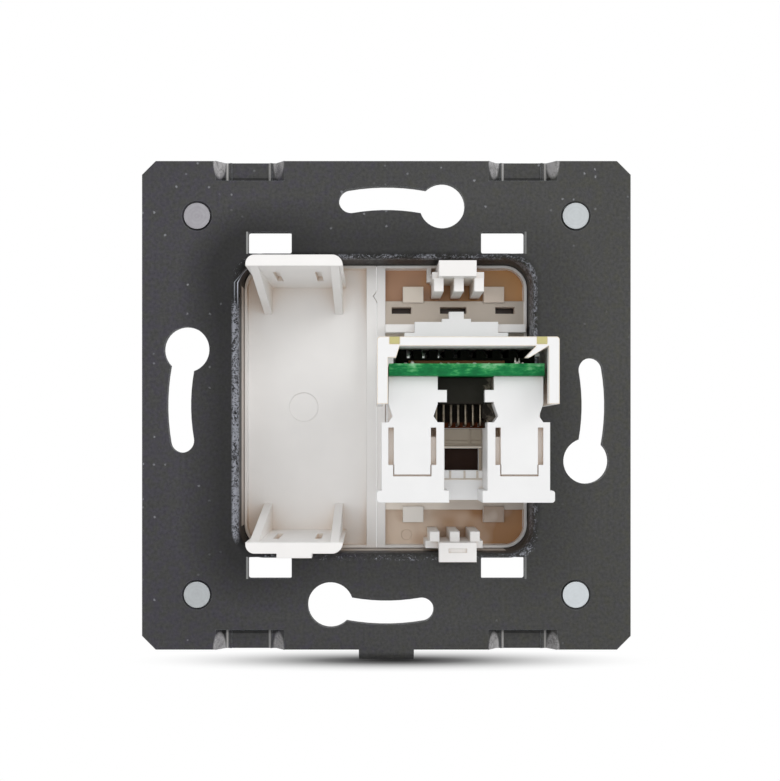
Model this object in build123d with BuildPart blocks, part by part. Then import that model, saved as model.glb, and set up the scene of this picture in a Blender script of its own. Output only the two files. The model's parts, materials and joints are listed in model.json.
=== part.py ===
from build123d import *
import os

# Flush wall socket insert, seen from the wall side: X runs across, Z runs up, the room is at +Y.
# The origin is the middle of the mounting plate, on its rear (wall) face. Sizes are in mm.

# Mounting plate, pressed from sheet steel
plate_size = 71.0
plate_thickness = 1.2
plate_corner = 2.0
plate_edge_roll = 0.2
opening_size = 42.9
opening_corner = 3.6
collar_wall = 0.8
collar_depth = 8.6
collar_bend = 1.2

# Keyhole slots on the standard 60 mm screw circle
screw_circle = 60.2
keyhole_head = 6.6
keyhole_slot = 3.5
keyhole_head_angle = 15.6
keyhole_end_angle = 9.8

# Small windows above and below the opening
window_width = 6.3
window_height = 3.1
window_side_inset = 4.55
window_gap = 0.6
window_corner = 0.3

# Pressed steps in the top and bottom edges
step_offset = 19.8
step_width = 10.0
step_flat = 7.4
step_height = 2.9
step_push = 1.5
crease_spacing = 5.9
crease_width = 0.35
crease_height = 0.15
shear_width = 0.3
shear_depth = 0.6

# Bent tab under the bottom edge
tab_width = 8.0
tab_drop = 1.5
tab_reach = 3.6
tab_overlap = 0.5
tab_bend = 1.1

# Flush rivets in the corners of the plate
rivet_inset = 8.0
rivet_diameter = 3.8
rivet_head = 5.4
rivet_head_height = 0.7
rivet_gap = 0.12
rivet_hole_edge = 0.2

# The two plastic modules that fill the opening
face_overlap = 1.05
module_corner = 0.8
face_thickness = 1.8
module_seam_gap = 1.45
module_gap = 0.1
module_play = 0.08
seam_key_z = 16.7
seam_key_half = 0.8
seam_key_reach = 0.45
skirt_wall = 0.4
skirt_height = 1.8
blank_divider = 1.5
port_divider = 1.35

# Snap brackets of the blank module
bracket_side_inset = 8.95
bracket_width = 13.0
bracket_thickness = 1.5
bracket_top_inset = 3.25
bracket_bottom_inset = 2.75
bracket_tip = -13.0
bracket_corner = 1.2
bracket_seam_corner = 1.45
bracket_slot_width = 0.85
bracket_slot_depth = 0.7
bracket_slot_start = -7.5
bracket_slot_length = 8.9
bracket_slot_spacing = 5.85
gusset_thickness = 1.2
gusset_inset = 0.5
gusset_reach = 4.0
bracket_nib_width = 4.7
bracket_nib_height = 0.6
bracket_nib_length = 3.0
ejector_mark = 4.4
ejector_depth = 0.12

# Port module: raised deck, posts, ledge and snap hooks
deck_inset = 5.45
deck_low_inset = 5.85
deck_rise = 1.5
deck_slot_height = 1.0
deck_slot_depth = 2.4
deck_slot_inset = 6.85
deck_slot_middle = 4.0
deck_slot_side = 2.95
deck_slot_spread = 7.85
post_width = 3.1
post_height = 2.4
post_spread = 6.1
post_inset = 4.85
post_lift = 0.33
post_rise = 0.5
ledge_z = 11.1
ledge_thickness = 1.2
ledge_rise = 2.0
hook_width = 5.4
hook_thickness = 2.3
hook_top_inset = 2.95
hook_bottom_inset = 1.65
hook_tip = -1.6
hook_taper = 0.45
hook_rib = 1.4
hook_rib_slope = 0.1
hook_rib_spacing = 2.93
hook_rib_tip = 0.2
hook_top_shift = 0.3
hook_top_rib_height = 2.05
hook_top_wing = 7.6
hook_bottom_shift = -0.3
hook_bottom_rib_height = 1.55
hook_bottom_wing = 8.4
hook_wing_thickness = 1.1
hook_wing_tip = 1.6
hook_barb = 0.5
hook_barb_gap = 0.15
hook_recess_width = 2.6
hook_recess_height = 0.6
hook_recess_depth = 0.4
wall_rib_width = 0.65
wall_rib_offset = 3.7
wall_rib_height = 2.1
wall_rib_rise = 1.7
pin_mark = 1.6
pin_mark_depth = 0.1
pin_mark_x = 3.2
pin_mark_z = -19.5

# Plug cavity of the eight-way modular jack
plug_width = 11.9
plug_top = 0.1
plug_bottom = -6.9
latch_width = 6.3
latch_bottom = -9.4
plug_end = -4.0
plug_lead_in = 0.5

# Jack housing: two rear towers joined by a low back wall
housing_width = 20.4
housing_side_gap = 1.0
housing_top = 3.35
housing_bottom = -13.3
tower_rear = -14.8
tower_gap = 7.4
tower_gap_low = 5.7
tower_shoulder = -2.7
tower_shoulder_out = 0.9
tower_wide_length = 8.8
tower_skin = 2.8
tower_notch = 0.55
tower_notch_top = -0.3
tower_notch_tip = -1.9
tower_tab_width = 1.2
tower_tab_height = 1.6
tower_tab_thickness = 1.2
tower_tab_z = 0.76
foot_width = 9.7
foot_height = 1.6
foot_thickness = 2.4
foot_corner = 0.4
foot_overhang = 0.65
back_wall_rear = -8.0
back_wall_thickness = 1.2
back_wall_top = -3.4
back_window_width = 4.7
back_window_top = -6.2
back_window_bottom = -9.2
panel_inset = 3.15
panel_width = 4.9
panel_bottom = -9.7
panel_slot_width = 0.7
panel_slot_top = -3.4
panel_slot_bottom = -8.3
panel_slot_depth = 1.0
panel_pocket_height = 1.2
panel_pocket_depth = 3.0
panel_line = 0.22
panel_side_line = 0.13
panel_line_depth = 0.5
latch_plate_shift = 0.2
latch_plate_width = 12.4
latch_plate_rise = 0.2
latch_plate_foot_width = 15.4
latch_plate_foot_top = 10.9
latch_plate_thickness = 1.5
latch_step_width = 4.3
latch_step_height = 0.45
latch_catch_width = 2.2
latch_catch_height = 1.5
latch_catch_reach = 0.9

# Circuit board, lying on the towers
board_side_gap = 0.05
board_thickness = 1.6
board_rear = -16.2
board_gap = 0.1

# Terminal block on the board, with a fork in each of its eight wire channels
block_side_gap = 0.9
block_height = 2.0
block_rear = -13.6
block_front = -1.2
terminal_count = 8
terminal_pitch = 2.1
channel_width = 0.9
channel_depth = 1.1
fork_y = -8.0
fork_slot_width = 1.7
fork_slot_length = 0.6
fork_slot_depth = 1.5
fork_width = 1.6
fork_thickness = 0.4
fork_height = 1.3
fork_slit = 0.36
fork_slit_depth = 0.9

# Cap over the terminals
cap_side_gap = 0.12
cap_top = 8.25
cap_thickness = 1.2
cap_rear = -18.5
cap_front = -0.6
cap_leg = 1.4
cap_leg_undercut = 0.6
cap_leg_lip = 1.1
cap_leg_bottom = -0.4
cap_leg_length = 12.0
cap_edge = 0.4
cap_strut_depth = 1.2
cap_strut_width = 1.5
cap_strut_foot = 1.05
cap_strut_height = 1.5
cap_brace_reach = 2.45
cap_brace_head = 1.6
cap_brace_foot = 0.6
lug_inset = 2.25
lug_width = 1.3
lug_height = 0.95
lug_depth = 1.0

# Contact carrier and its spring wires
carrier_gap = 0.1
carrier_rear = -13.4
carrier_block_bottom = -0.2
carrier_shoulder_width = 8.8
carrier_plate_thickness = 2.8
carrier_ear_start = 2.42
carrier_ear_bottom = -2.6
carrier_ear_rise = 0.6
carrier_ear_side_rise = 0.8
carrier_ear_thickness = 1.5
wire_count = 8
wire_pitch = 1.016
wire_width = 0.36
wire_sides = 8
wire_slot = 0.44
wire_drop_y = -8.6
wire_turn_z = -2.95
wire_bend = 0.6
wire_rise_y = -3.6
wire_tip_y = 4.2
wire_tip_z = -0.7

# Places that follow from the sizes above
half_plate = plate_size / 2
half_opening = opening_size / 2
half_face = half_opening + face_overlap
window_offset = half_opening - window_side_inset
window_from_middle = half_opening + window_gap + window_height / 2
rivet_spacing = plate_size - 2 * rivet_inset
port_x = half_opening - housing_side_gap - housing_width / 2
module_seam = port_x - housing_width / 2 - module_seam_gap
bracket_x = bracket_side_inset - half_opening
bracket_top = half_opening - bracket_top_inset
bracket_bottom = bracket_bottom_inset - half_opening
hook_top = half_opening - hook_top_inset
hook_bottom = hook_bottom_inset - half_opening
post_z = half_opening - post_inset
deck_top = half_opening - deck_inset
deck_bottom = deck_low_inset - half_opening
deck_slot_z = half_opening - deck_slot_inset
floor_y = collar_depth
face_y = floor_y + face_thickness
deck_y = floor_y - deck_rise
ledge_y = deck_y - ledge_rise
skirt_half = half_opening - module_gap
skirt_corner = opening_corner - module_gap
room_half = skirt_half - skirt_wall
room_corner = skirt_corner - skirt_wall
latch_x = port_x + latch_plate_shift
latch_plate_rear = ledge_y - latch_plate_thickness
latch_plate_top = ledge_z + ledge_thickness + latch_plate_rise
tower_wide = housing_width + 2 * tower_shoulder_out
panel_x = housing_width / 2 - panel_inset
board_width = housing_width - 2 * board_side_gap
block_width = board_width - 2 * block_side_gap
cap_width = housing_width + 2 * (cap_side_gap + cap_leg)
lug_x = cap_width / 2 - lug_inset
board_z = housing_top + board_thickness
block_z = board_z + block_height
cavity_rear = back_wall_rear + back_wall_thickness


def depth(y):
    """Sketch plane parallel to the plate at this depth; its extrusions run to the rear."""
    return Plane.XZ.offset(-y)


def side(x):
    """Sketch plane across the plate at this X: its x runs to the room and its y runs up."""
    return Plane.YZ.offset(x)


def block(x_range, y_range, z_range, mode=Mode.ADD):
    """Box between two corners, given as pairs of X, Y and Z; it joins or cuts the open part."""
    ranges = (x_range, y_range, z_range)
    sizes = [abs(high - low) for low, high in ranges]
    middle = tuple((low + high) / 2 for low, high in ranges)
    with Locations(middle):
        Box(*sizes, mode=mode)


def about(middle, width):
    """The two ends of a width laid evenly about a middle."""
    return (middle - width / 2, middle + width / 2)


def seam_key(play=0.0):
    """Triangle on the open sketch that keys the port module into the blank module."""
    with Locations((module_seam, seam_key_z)):
        Polygon(
            (module_play, seam_key_half + play),
            (-seam_key_reach - play, 0),
            (module_play, -seam_key_half - play),
            align=None,
        )


def rounded_strip(half, corner, low_x, high_x):
    """The part of a rounded square between two X values, drawn on the open sketch."""
    RectangleRounded(2 * half, 2 * half, corner)
    with Locations(((low_x + high_x) / 2, 0)):
        Rectangle(high_x - low_x, 2 * half, mode=Mode.INTERSECT)


def plug_profile(gap=0.0):
    """Outline of the plug cavity on the open sketch: the body and, below it, the latch channel."""
    with Locations((port_x, (plug_top + plug_bottom) / 2)):
        Rectangle(plug_width - 2 * gap, plug_top - plug_bottom - 2 * gap)
    latch_height = plug_bottom - latch_bottom
    with Locations((port_x, latch_bottom + gap + latch_height / 2)):
        Rectangle(latch_width - 2 * gap, latch_height)


os.makedirs("parts", exist_ok=True)


# Mounting plate: a blanked square with a drawn collar, pressed edge steps and a bent tab
with BuildPart() as mounting_plate:
    with BuildSketch(depth(plate_thickness)) as plate_outline:
        Rectangle(plate_size, plate_size)
        chamfer(plate_outline.vertices(), plate_corner)
    extrude(amount=plate_thickness)
    fillet(mounting_plate.faces().sort_by(Axis.Y)[0].edges(), plate_edge_roll)

    with BuildSketch(depth(collar_depth)):
        collar_size = opening_size + 2 * collar_wall
        RectangleRounded(collar_size, collar_size, opening_corner + collar_wall)
    extrude(amount=collar_depth - plate_thickness)
    with BuildSketch(depth(collar_depth)):
        RectangleRounded(opening_size, opening_size, opening_corner)
    extrude(amount=collar_depth, mode=Mode.SUBTRACT)
    rear_face = mounting_plate.faces().sort_by(Axis.Y)[0]
    fillet(rear_face.inner_wires()[0].edges(), collar_bend)

    # Four keyholes: a round head, and a slot that follows the screw circle
    with BuildSketch(depth(plate_thickness)):
        for quarter in (90, 0, -90, -180):
            head_at = quarter - keyhole_head_angle
            with PolarLocations(screw_circle / 2, 1, start_angle=head_at):
                Circle(keyhole_head / 2)
            sweep_angle = keyhole_head_angle + keyhole_end_angle
            with BuildLine():
                slot_middle = CenterArc((0, 0), screw_circle / 2, head_at, sweep_angle)
            SlotArc(slot_middle, keyhole_slot)
    extrude(amount=plate_thickness, mode=Mode.SUBTRACT)

    with BuildSketch(depth(plate_thickness)):
        with GridLocations(2 * window_offset, 2 * window_from_middle, 2, 2):
            RectangleRounded(window_width, window_height, window_corner)
        with GridLocations(rivet_spacing, rivet_spacing, 2, 2):
            Circle(rivet_diameter / 2 + rivet_gap)
    extrude(amount=plate_thickness, mode=Mode.SUBTRACT)
    rivet_hole = rivet_diameter / 2 + rivet_gap
    round_edges = mounting_plate.faces().sort_by(Axis.Y)[0].edges().filter_by(GeomType.CIRCLE)
    chamfer([edge for edge in round_edges if abs(edge.radius - rivet_hole) < 0.01], rivet_hole_edge)

    # Each step is sheared along its inner side and pushed towards the room
    for low_z in (half_plate - step_height, -half_plate):
        for middle in (-step_offset, step_offset):
            low_x, high_x = about(middle, step_width)
            flat_low, flat_high = about(middle, step_flat)
            pushed = step_push + plate_thickness
            block((low_x, high_x), (0, plate_thickness), (low_z, low_z + step_height), Mode.SUBTRACT)
            with BuildSketch(Plane.XY.offset(low_z)):
                Polygon(
                    (low_x, 0),
                    (flat_low, step_push),
                    (flat_high, step_push),
                    (high_x, 0),
                    (high_x, plate_thickness),
                    (flat_high, pushed),
                    (flat_low, pushed),
                    (low_x, plate_thickness),
                    align=None,
                )
            extrude(amount=step_height)
            for crease_x in about(middle, crease_spacing):
                block(
                    about(crease_x, crease_width),
                    (step_push - crease_height, step_push),
                    (low_z, low_z + step_height),
                )
            if low_z > 0:
                shear_z = (low_z, low_z + shear_width)
            else:
                shear_z = (low_z + step_height - shear_width, low_z + step_height)
            block((flat_low, flat_high), (0, step_push + shear_depth), shear_z, Mode.SUBTRACT)

    # The bottom tab drops below the edge and is bent towards the room
    tab_bottom = -half_plate - tab_drop
    tab_top = -half_plate + tab_overlap
    with BuildSketch(side(-tab_width / 2)):
        Polygon(
            (0, tab_top),
            (0, tab_bottom),
            (tab_reach, tab_bottom),
            (tab_reach, tab_bottom + plate_thickness),
            (plate_thickness, tab_bottom + plate_thickness),
            (plate_thickness, tab_top),
            align=None,
        )
    extrude(amount=tab_width)
    lowest_edges = mounting_plate.faces().sort_by(Axis.Z)[0].edges().filter_by(Axis.X)
    fillet(lowest_edges.sort_by(Axis.Y)[0], tab_bend)

mounting_plate.part.label = "mounting_plate"
export_step(mounting_plate.part, "parts/mounting_plate.step")


# Rivets: shanks flush with the rear face, low heads on the room side
with BuildPart() as corner_rivets:
    with BuildSketch(depth(plate_thickness)):
        with GridLocations(rivet_spacing, rivet_spacing, 2, 2):
            Circle(rivet_diameter / 2)
    extrude(amount=plate_thickness)
    with BuildSketch(depth(plate_thickness + rivet_head_height)):
        with GridLocations(rivet_spacing, rivet_spacing, 2, 2):
            Circle(rivet_head / 2)
    extrude(amount=rivet_head_height)
    chamfer(corner_rivets.edges().group_by(Axis.Y)[-1], rivet_head_height / 2)

corner_rivets.part.label = "corner_rivets"
export_step(corner_rivets.part, "parts/corner_rivets.step")


# Blank module: a plain face with a low skirt, and two gusseted brackets that reach to the rear
with BuildPart() as blank_module:
    with BuildSketch(depth(face_y)):
        rounded_strip(half_face, module_corner, -half_face, module_seam)
    extrude(amount=face_thickness)
    with BuildSketch(depth(floor_y)):
        rounded_strip(skirt_half, skirt_corner, -skirt_half, module_seam)
    extrude(amount=skirt_height)
    with BuildSketch(depth(floor_y)):
        rounded_strip(room_half, room_corner, -room_half, module_seam - blank_divider)
    extrude(amount=skirt_height, mode=Mode.SUBTRACT)
    with BuildSketch(depth(floor_y)):
        seam_key(module_play)
    extrude(amount=skirt_height, mode=Mode.SUBTRACT)

    with BuildSketch(depth(floor_y)):
        with Locations((bracket_x, 0)):
            Circle(ejector_mark / 2)
    extrude(amount=-ejector_depth, mode=Mode.SUBTRACT)

    bracket_low, bracket_high = about(bracket_x, bracket_width)
    for inner, outward in ((bracket_top, 1), (bracket_bottom, -1)):
        outer = inner + outward * bracket_thickness
        with BuildSketch(depth(floor_y)) as bracket_section:
            with Locations((bracket_x, (inner + outer) / 2)):
                Rectangle(bracket_width, bracket_thickness)
            outer_corners = bracket_section.vertices().sort_by(lambda v: outward * v.Y)[-2:].sort_by(Axis.X)
            fillet(outer_corners[0], bracket_corner)
            seam_corner = bracket_section.vertices().sort_by(lambda v: v.X + outward * v.Y)[-1]
            fillet(seam_corner, bracket_seam_corner)
        extrude(amount=floor_y - bracket_tip)
        gusset_low = bracket_low + gusset_inset
        gusset_high = bracket_high - gusset_inset - gusset_thickness
        for start in (gusset_low, gusset_high):
            with BuildSketch(side(start)):
                Polygon(
                    (bracket_tip, inner),
                    (floor_y, inner),
                    (floor_y, inner - outward * gusset_reach),
                    align=None,
                )
            extrude(amount=gusset_thickness)
        slot_range = (bracket_slot_start, bracket_slot_start + bracket_slot_length)
        for middle in about(bracket_x, bracket_slot_spacing):
            block(
                about(middle, bracket_slot_width),
                slot_range,
                (inner, inner + outward * bracket_slot_depth),
                Mode.SUBTRACT,
            )
    nib_z = bracket_bottom - bracket_thickness
    block(
        about(bracket_x, bracket_nib_width),
        (bracket_tip, bracket_tip + bracket_nib_length),
        (nib_z - bracket_nib_height, nib_z),
    )

blank_module.part.label = "blank_module"
export_step(blank_module.part, "parts/blank_module.step")


# Port module: face with the plug opening, raised deck, posts, ledge and two snap hooks
with BuildPart() as port_module:
    with BuildSketch(depth(face_y)):
        rounded_strip(half_face, module_corner, module_seam + module_play, half_face)
    extrude(amount=face_thickness)
    with BuildSketch(depth(floor_y)):
        rounded_strip(skirt_half, skirt_corner, module_seam + module_play, skirt_half)
        seam_key()
    extrude(amount=skirt_height)
    with BuildSketch(depth(floor_y)):
        rounded_strip(room_half, room_corner, module_seam + port_divider, room_half)
    extrude(amount=skirt_height, mode=Mode.SUBTRACT)

    deck_x = (module_seam + port_divider, room_half)
    block(deck_x, (deck_y, floor_y), (deck_bottom, deck_top))
    for spread in (-1, 1):
        for level in (-post_z, post_z):
            post_x = port_x + spread * post_spread
            post_range = about(level + post_lift, post_height)
            block(about(post_x, post_width), (deck_y - post_rise, floor_y), post_range)
    block(deck_x, (ledge_y, floor_y), (ledge_z, ledge_z + ledge_thickness))

    slots = ((-deck_slot_spread, deck_slot_side), (0, deck_slot_middle), (deck_slot_spread, deck_slot_side))
    for offset_x, width in slots:
        block(
            about(port_x + offset_x, width),
            (deck_y, deck_y + deck_slot_depth),
            about(deck_slot_z, deck_slot_height),
            Mode.SUBTRACT,
        )

    # A snap hook at the top and one at the bottom: a plate, a wing across it and three ribs inside
    hooks = (
        (hook_top, 1, hook_top_shift, hook_top_wing, hook_top_rib_height, hook_taper),
        (hook_bottom, -1, hook_bottom_shift, hook_bottom_wing, hook_bottom_rib_height, 0),
    )
    for inner, outward, shift, wing, rib_height, taper in hooks:
        outer = inner + outward * hook_thickness
        low_x, high_x = about(port_x, hook_width)
        block((low_x, high_x), (hook_tip, floor_y), (inner, min(abs(outer), room_half) * outward))
        with BuildSketch(depth(-hook_barb_gap)):
            Polygon((low_x, inner), (high_x, inner), (high_x - taper, outer), (low_x, outer), align=None)
        extrude(amount=-hook_barb_gap - hook_tip)
        block(
            about(port_x + shift, wing),
            (hook_wing_tip, floor_y),
            (inner, inner + outward * hook_wing_thickness),
        )
        for rib in (-1, 0, 1):
            with BuildSketch(side(port_x + shift + rib * hook_rib_spacing - hook_rib / 2)):
                Polygon(
                    (hook_rib_tip, inner),
                    (floor_y, inner),
                    (floor_y, inner - outward * rib_height),
                    (hook_rib_tip, inner - outward * (rib_height - hook_rib_slope)),
                    align=None,
                )
            extrude(amount=hook_rib)
    barb_z = hook_bottom - hook_thickness
    block(
        about(port_x, hook_width),
        (hook_tip, -hook_barb_gap),
        (barb_z - hook_barb, barb_z),
    )
    block(
        about(port_x, hook_recess_width),
        (hook_tip, hook_tip + hook_recess_depth),
        about(hook_bottom - hook_thickness / 2, hook_recess_height),
        Mode.SUBTRACT,
    )

    # A small rib on the wall beside the top hook, and the mark of an ejector pin in the low recess
    block(
        about(port_x - wall_rib_offset, wall_rib_width),
        (floor_y - wall_rib_rise, floor_y),
        (room_half - wall_rib_height, room_half),
    )
    with BuildSketch(depth(floor_y)):
        with Locations((pin_mark_x, pin_mark_z)):
            Circle(pin_mark / 2)
    extrude(amount=-pin_mark_depth, mode=Mode.SUBTRACT)

    with BuildSketch(depth(face_y)):
        plug_profile()
    extrude(amount=face_y - deck_y, mode=Mode.SUBTRACT)
    plug_rim = (
        port_module.faces()
        .sort_by(Axis.Y)[-1]
        .inner_wires()[0]
        .edges()
    )
    chamfer(plug_rim, plug_lead_in)

port_module.part.label = "port_module"
export_step(port_module.part, "parts/port_module.step")


# Jack housing: body on the deck, two rear towers with snap panels, and the latch plate on top
with BuildPart() as jack_housing:
    body_z = (housing_bottom, housing_top)
    block(about(port_x, housing_width), (tower_rear, deck_y), body_z)
    wide_y = (tower_rear, tower_rear + tower_wide_length)
    block(about(port_x, tower_wide), wide_y, (housing_bottom, tower_shoulder))
    for sign in (-1, 1):
        foot_outer = port_x + sign * (tower_wide / 2 + foot_overhang)
        with BuildSketch(depth(tower_rear + foot_thickness)):
            with Locations((foot_outer - sign * foot_width / 2, housing_bottom + foot_height / 2)):
                RectangleRounded(foot_width, foot_height, foot_corner)
        extrude(amount=foot_thickness)

    # Gap between the towers, above and below the shoulder, and over the back wall
    above = (tower_shoulder, housing_top)
    block(about(port_x, tower_gap), (tower_rear, plug_end), above, Mode.SUBTRACT)
    block(
        about(port_x, tower_gap_low),
        (tower_rear, back_wall_rear),
        (housing_bottom + foot_height, tower_shoulder),
        Mode.SUBTRACT,
    )
    block(
        about(port_x, tower_gap_low - 2 * foot_overhang),
        (tower_rear, back_wall_rear),
        (housing_bottom, housing_bottom + foot_height),
        Mode.SUBTRACT,
    )
    pocket_width = carrier_shoulder_width + 2 * carrier_gap
    pocket_y = (tower_rear + tower_skin, plug_end)
    block(about(port_x, pocket_width), pocket_y, (back_wall_top, housing_top), Mode.SUBTRACT)
    with BuildSketch(depth(deck_y)):
        plug_profile()
    extrude(amount=deck_y - cavity_rear, mode=Mode.SUBTRACT)
    block(
        about(port_x, back_window_width),
        (back_wall_rear, cavity_rear),
        (back_window_bottom, back_window_top),
        Mode.SUBTRACT,
    )

    # V-shaped nicks in the inner and outer sides of both towers
    for sign in (-1, 1):
        for edge_x, inward in ((tower_gap / 2, 1), (housing_width / 2, -1)):
            with BuildSketch(depth(tower_rear + tower_skin)):
                Polygon(
                    (port_x + sign * edge_x, tower_notch_top),
                    (port_x + sign * (edge_x + inward * tower_notch), tower_notch_tip),
                    (port_x + sign * edge_x, tower_shoulder),
                    align=None,
                )
            extrude(amount=tower_skin, mode=Mode.SUBTRACT)

    # Tabs that hold the contact carrier
    for sign in (-1, 1):
        tab_x = port_x + sign * (tower_gap - tower_tab_width) / 2
        tab_y = (tower_rear, tower_rear + tower_tab_thickness)
        block(about(tab_x, tower_tab_width), tab_y, about(tower_tab_z, tower_tab_height))

    # Snap panels: a shallow slot on each side, deeper at the top of the inner one, and a fine
    # parting line round the lower end
    for sign in (-1, 1):
        middle = port_x + sign * panel_x
        for edge in (-1, 1):
            slot_x = middle + edge * (panel_width + panel_slot_width) / 2
            block(
                about(slot_x, panel_slot_width),
                (tower_rear, tower_rear + panel_slot_depth),
                (panel_slot_bottom, panel_slot_top),
                Mode.SUBTRACT,
            )
            line_x = middle + edge * panel_width / 2
            block(
                about(line_x, panel_side_line),
                (tower_rear, tower_rear + panel_line_depth),
                (panel_bottom, panel_slot_bottom),
                Mode.SUBTRACT,
            )
        pocket_x = middle - sign * (panel_width + panel_slot_width) / 2
        block(
            about(pocket_x, panel_slot_width),
            (tower_rear, tower_rear + panel_pocket_depth),
            (panel_slot_top - panel_pocket_height, panel_slot_top),
            Mode.SUBTRACT,
        )
        block(
            about(middle, panel_width + panel_side_line),
            (tower_rear, tower_rear + panel_line_depth),
            about(panel_bottom, panel_line),
            Mode.SUBTRACT,
        )

    # Latch plate: stands behind the ledge, with a stepped catch that hooks over it
    plate_y = (latch_plate_rear, ledge_y)
    block(about(latch_x, latch_plate_foot_width), plate_y, (housing_top, latch_plate_foot_top))
    block(about(latch_x, latch_plate_width), plate_y, (housing_top, latch_plate_top))
    step_top = latch_plate_top + latch_step_height
    block(about(latch_x, latch_step_width), plate_y, (latch_plate_top, step_top))
    block(
        about(latch_x, latch_catch_width),
        (latch_plate_rear, ledge_y + latch_catch_reach),
        (latch_plate_top, latch_plate_top + latch_catch_height),
    )

jack_housing.part.label = "jack_housing"
export_step(jack_housing.part, "parts/jack_housing.step")


# Circuit board
with BuildPart() as circuit_board:
    block(
        about(port_x, board_width),
        (board_rear, latch_plate_rear - board_gap),
        (housing_top, board_z),
    )

circuit_board.part.label = "circuit_board"
export_step(circuit_board.part, "parts/circuit_board.step")


def terminal_x(number):
    """X of a terminal's wire channel, counted from the left."""
    return port_x + (number - (terminal_count - 1) / 2) * terminal_pitch


# Terminal block with eight wire channels, each crossed by a slot for its fork
with BuildPart() as terminal_block:
    block(about(port_x, block_width), (block_rear, block_front), (board_z, block_z))
    for number in range(terminal_count):
        middle = terminal_x(number)
        channel_y = (block_rear, block_front)
        block(about(middle, channel_width), channel_y, (block_z - channel_depth, block_z), Mode.SUBTRACT)
        block(
            about(middle, fork_slot_width),
            about(fork_y, fork_slot_length),
            (block_z - fork_slot_depth, block_z),
            Mode.SUBTRACT,
        )

terminal_block.part.label = "terminal_block"
export_step(terminal_block.part, "parts/terminal_block.step")


# Forked contacts that cut into the wires, one in each slot of the block
for number in range(terminal_count):
    fork_z = block_z - fork_slot_depth
    with BuildPart() as terminal_fork:
        with BuildSketch(depth(fork_y + fork_thickness / 2)):
            with Locations((terminal_x(number), fork_z + fork_height / 2)):
                Rectangle(fork_width, fork_height)
            with Locations((terminal_x(number), fork_z + fork_height - fork_slit_depth / 2)):
                Rectangle(fork_slit, fork_slit_depth, mode=Mode.SUBTRACT)
        extrude(amount=fork_thickness)
    name = f"terminal_fork_{number + 1}"
    terminal_fork.part.label = name
    export_step(terminal_fork.part, f"parts/{name}.step")


# Cap: a plate over the terminals with a leg down each side and two corner braces
with BuildPart() as jack_cap:
    cap_under = cap_top - cap_thickness
    with BuildSketch(depth(cap_front)) as cap_section:
        with Locations((port_x, cap_top - cap_thickness / 2)):
            Rectangle(cap_width, cap_thickness)
    extrude(amount=cap_front - cap_rear)
    for sign in (-1, 1):
        leg_x = port_x + sign * (cap_width - cap_leg) / 2
        leg_y = (cap_rear, cap_rear + cap_leg_length)
        block(about(leg_x, cap_leg), leg_y, (cap_leg_bottom, cap_top - cap_edge))
    long_edges = jack_cap.edges().filter_by(Axis.Y).group_by(Axis.Z)[-1]
    fillet(long_edges, cap_edge)
    for sign in (-1, 1):
        inner_x = port_x + sign * (cap_width / 2 - cap_leg)
        block(
            (inner_x, inner_x + sign * cap_leg_undercut),
            (cap_rear + cap_leg_lip, cap_rear + cap_leg_length),
            (cap_leg_bottom, cap_under),
            Mode.SUBTRACT,
        )

    inner_left = port_x - cap_width / 2 + cap_leg
    inner_right = port_x + cap_width / 2 - cap_leg
    with BuildSketch(depth(cap_rear + cap_strut_depth)):
        Polygon(
            (inner_left, cap_under),
            (inner_left + cap_strut_width, cap_under),
            (inner_left + cap_strut_foot, cap_under - cap_strut_height),
            (inner_left, cap_under - cap_strut_height),
            align=None,
        )
        Polygon(
            (inner_right, cap_under),
            (inner_right - cap_brace_reach, cap_under - cap_strut_height),
            (inner_right - cap_brace_reach - cap_brace_foot, cap_under - cap_strut_height),
            (inner_right - cap_brace_head, cap_under),
            align=None,
        )
    extrude(amount=cap_strut_depth)
    for sign in (-1, 1):
        block(
            about(port_x + sign * lug_x, lug_width),
            (cap_rear, cap_rear + lug_depth),
            (cap_top - lug_height, cap_top),
            Mode.SUBTRACT,
        )

jack_cap.part.label = "jack_cap"
export_step(jack_cap.part, "parts/jack_cap.step")


# Lugs in the rear edge of the cap
for name, sign in (("cap_lug_left", -1), ("cap_lug_right", 1)):
    with BuildPart() as cap_lug:
        block(
            about(port_x + sign * lug_x, lug_width),
            (cap_rear, cap_rear + lug_depth),
            (cap_top - lug_height, cap_top),
        )
    cap_lug.part.label = name
    export_step(cap_lug.part, f"parts/{name}.step")


def wire_x(number):
    """X of a contact wire, counted from the left."""
    return port_x + (number - (wire_count - 1) / 2) * wire_pitch


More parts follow.
